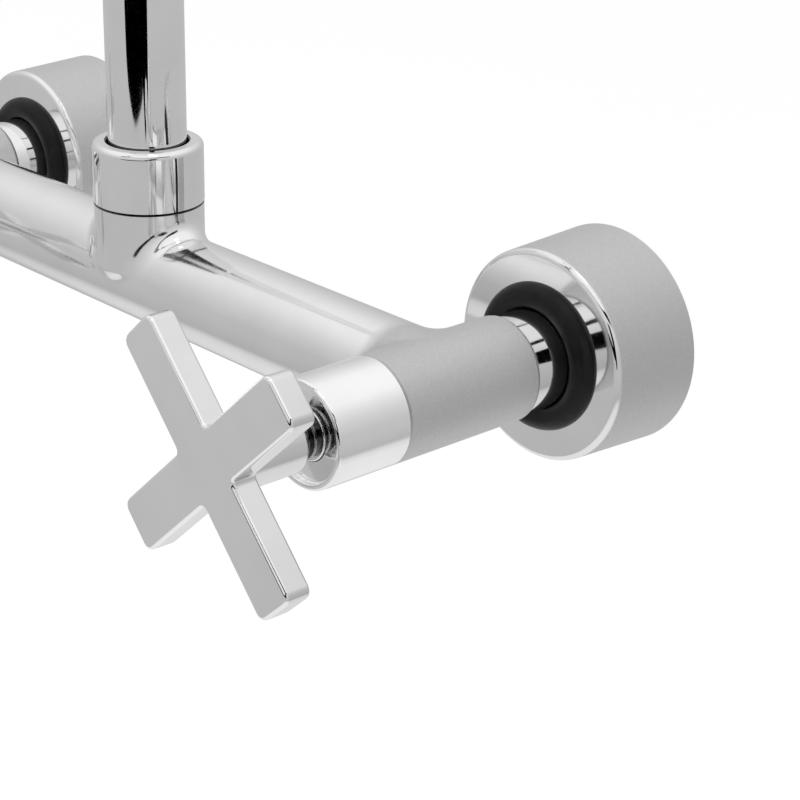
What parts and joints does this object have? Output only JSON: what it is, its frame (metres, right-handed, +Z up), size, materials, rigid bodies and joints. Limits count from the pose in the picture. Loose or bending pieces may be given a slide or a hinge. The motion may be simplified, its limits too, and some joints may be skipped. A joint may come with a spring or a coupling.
{
  "type": "pre rinse faucet",
  "caption": "Wall-mounted bridge faucet with cross handles, swivel riser, sprung hose arch and a squeeze-lever spray valve.",
  "frame": {"origin": "on the wall face, midway between the hot and cold inlet axes", "axes": "+X to the cold side (the user's right), +Y into the wall, +Z up along the riser; the user stands towards -Y"},
  "size_m": [0.2578, 0.3044, 0.6454],
  "materials": {
    "chrome": "polished chrome plate on brass",
    "cast_chrome": "chrome plate on a cast body, slightly softer than the turned parts",
    "spring_steel": "bright spring wire",
    "steel": "satin stainless steel",
    "brass": "turned brass",
    "neck_metal": "dark plated brass cartridge",
    "rubber": "black rubber, slight sheen",
    "hose_rubber": "black reinforced hose",
    "grip_rubber": "matt black insulating grip",
    "ceramic": "lapped alumina ceramic",
    "nylon": "natural nylon"
  },
  "bodies": {
    "base": {"bridge_body": "cast_chrome", "hot_inlet_shank": "brass", "cold_inlet_shank": "brass", "hot_filter_washer": "rubber", "cold_filter_washer": "rubber", "hot_union_nut": "brass", "cold_union_nut": "brass", "hot_inlet_tail": "chrome", "cold_inlet_tail": "chrome", "hot_wall_shroud": "chrome", "cold_wall_shroud": "chrome", "hot_shroud_ring": "rubber", "cold_shroud_ring": "rubber", "hot_valve_sleeve": "chrome", "cold_valve_sleeve": "chrome", "hot_cartridge": "neck_metal", "cold_cartridge": "neck_metal", "hot_seat_seal": "rubber", "cold_seat_seal": "rubber", "hot_fixed_disc": "ceramic", "cold_fixed_disc": "ceramic", "riser_collar": "chrome"},
    "hot_valve": {"hot_handle": "chrome", "hot_stem": "brass", "hot_moving_disc": "ceramic", "hot_stem_seals": "rubber", "hot_set_screw": "steel"},
    "cold_valve": {"cold_handle": "chrome", "cold_stem": "brass", "cold_moving_disc": "ceramic", "cold_stem_seals": "rubber", "cold_set_screw": "steel"},
    "riser": {"swivel_spigot": "brass", "riser_seals": "rubber", "swivel_washer": "nylon", "riser_tube": "chrome", "riser_union": "chrome", "head_union": "chrome", "hose_tails": "brass", "hose_ferrules": "steel", "hose": "hose_rubber", "arch_spring": "spring_steel", "dock_clamp": "chrome", "dock_screw": "steel", "dock_arm": "chrome", "dock_fork": "chrome", "spray_body": "chrome", "grip": "grip_rubber", "valve_seat": "brass", "packing_nut": "chrome", "spray_face": "steel", "face_screw": "steel", "bumper_ring": "rubber", "lever_pin": "steel", "return_spring": "steel"},
    "lever": {"spray_lever": "chrome"},
    "plunger": {"valve_plunger": "steel", "seat_washer": "rubber"}
  },
  "joints": [
    {"name": "hot_handle_turn", "type": "hinge", "parent": "base", "child": "hot_valve", "pos_m": [-0.1016, -0.1, 0], "axis": [0, -1, 0], "range_deg": [0, 90]},
    {"name": "cold_handle_turn", "type": "hinge", "parent": "base", "child": "cold_valve", "pos_m": [0.1016, -0.1, 0], "axis": [0, 1, 0], "range_deg": [0, 90]},
    {"name": "riser_swivel", "type": "hinge", "parent": "base", "child": "riser", "pos_m": [0, -0.056, 0.026], "axis": [0, 0, 1], "range_deg": [-95, 95]},
    {"name": "lever_squeeze", "type": "hinge", "parent": "riser", "child": "lever", "pos_m": [0, -0.274, 0.189], "axis": [-1, 0, 0], "range_deg": [0, 11], "stiffness_Nm_per_rad": 1.5, "springref_deg": -5.73},
    {"name": "plunger_push", "type": "slide", "parent": "riser", "child": "plunger", "axis": [0, 1, 0], "range_m": [0, 0.0039], "deforming": ["return_spring"]}
  ],
  "couplings": [
    {"joint": "plunger_push", "follows": "lever_squeeze", "m_per_rad": 0.02}
  ]
}
